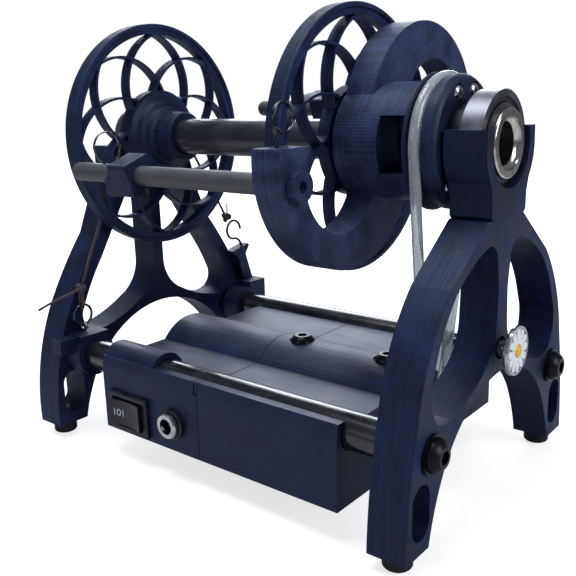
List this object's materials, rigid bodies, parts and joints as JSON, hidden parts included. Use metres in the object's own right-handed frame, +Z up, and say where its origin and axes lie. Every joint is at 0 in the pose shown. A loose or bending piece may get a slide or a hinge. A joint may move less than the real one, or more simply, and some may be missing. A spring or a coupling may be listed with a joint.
{
  "type": "electric yarn spinner",
  "caption": "Motor-driven yarn spinner: a belt-turned flyer with an openwork bobbin between two arched end frames over a drive box.",
  "frame": {"origin": "on the table, midway between the outer faces of the end frames, under the spindle", "axes": "+X along the spindle towards the orifice and the knob, +Y to the side away from the switch, +Z up"},
  "size_m": [0.1849, 0.1261, 0.1628],
  "materials": {
    "blue_print": "printed layers, matte",
    "dark_tube": "dark, satin",
    "sleeve_steel": "turned",
    "rods": "graphite grey, satin",
    "shafts": "ground, satin",
    "rails": "black, glossy",
    "chrome": "polished",
    "black_steel": "black oxide",
    "wire": "dark wire",
    "bearing": "ground",
    "shield": "smooth",
    "black": "smooth",
    "rubber": "matte",
    "belt": "clear, glossy",
    "bush": "turned",
    "motor": "zinc",
    "board": "solder mask",
    "petals": "white",
    "centre": "yellow",
    "cord": "twisted"
  },
  "bodies": {
    "base": {"bearing_cradle": "blue_print", "bearing_left_balls": "bearing", "bearing_left_outer_ring": "bearing", "bearing_left_shields": "shield", "bearing_right_balls": "bearing", "bearing_right_outer_ring": "bearing", "bearing_right_shields": "shield", "brake_clamp": "blue_print", "brake_cord": "cord", "control_board": "board", "drive_belt": "belt", "floor_plate": "blue_print", "foot_bumpers": "rubber", "frame_left": "blue_print", "frame_right": "blue_print", "jack_body": "chrome", "jack_nut": "chrome", "motor": "motor", "rail_front": "rails", "rail_rear": "rails", "rail_screws": "black_steel", "rail_washers": "black_steel", "ridge_screws": "black_steel", "screw_eye": "wire", "shell_left": "blue_print", "shell_right": "blue_print", "speed_control": "black", "split_ring": "black", "switch_housing": "black"},
    "flyer": {"flyer_body": "blue_print", "whorl": "blue_print", "whorl_screws": "chrome", "orifice_tube": "chrome", "spindle_sleeve": "sleeve_steel", "bearing_right_inner_ring": "bearing", "bearing_left_inner_ring": "bearing", "flyer_shaft": "shafts", "rod_front": "rods", "rod_rear": "rods", "fixed_eye": "wire"},
    "bobbin": {"flange_left": "blue_print", "flange_right": "blue_print", "bobbin_tube": "dark_tube", "hub_sleeve": "blue_print", "brake_whorl": "blue_print", "bobbin_bushes": "bush"},
    "clip_front": {"slider_front": "blue_print", "hook_front": "wire"},
    "clip_rear": {"slider_rear": "blue_print", "hook_rear": "wire"},
    "motor_rotor": {"motor_shaft": "shafts", "motor_pulley": "bush"},
    "rocker": {"rocker_button": "black"},
    "knob": {"knob_shaft": "shafts", "knob_cap": "chrome", "knob_petals": "petals", "knob_centre": "centre"},
    "tension": {"tension_arm": "blue_print", "s_hook": "wire"}
  },
  "joints": [
    {"name": "motor_spin", "type": "hinge", "parent": "base", "child": "motor_rotor", "pos_m": [0.06, -0.006, 0.0273], "axis": [1, 0, 0], "continuous": true},
    {"name": "flyer_spin", "type": "hinge", "parent": "base", "child": "flyer", "pos_m": [0.04, 0, 0.118], "axis": [1, 0, 0], "continuous": true},
    {"name": "bobbin_spin", "type": "hinge", "parent": "flyer", "child": "bobbin", "pos_m": [-0.02, 0, 0.118], "axis": [1, 0, 0], "continuous": true},
    {"name": "slide_front", "type": "slide", "parent": "flyer", "child": "clip_front", "axis": [1, 0, 0], "range_m": [-0.018, 0.049]},
    {"name": "slide_rear", "type": "slide", "parent": "flyer", "child": "clip_rear", "axis": [1, 0, 0], "range_m": [-0.025, 0.042]},
    {"name": "rocker_tilt", "type": "hinge", "parent": "base", "child": "rocker", "pos_m": [-0.035, -0.053, 0.0193], "axis": [0, 0, 1], "range_deg": [-8, 8]},
    {"name": "knob_turn", "type": "hinge", "parent": "base", "child": "knob", "pos_m": [0.087, 0, 0.0537], "axis": [1, 0, 0], "range_deg": [-150, 150]},
    {"name": "tension_turn", "type": "hinge", "parent": "base", "child": "tension", "pos_m": [-0.0665, 0.0444, 0.0344], "axis": [1, 0, 0], "range_deg": [-12, 0]}
  ],
  "couplings": [
    {"joint": "motor_spin", "follows": "flyer_spin", "ratio": 4.4889}
  ]
}
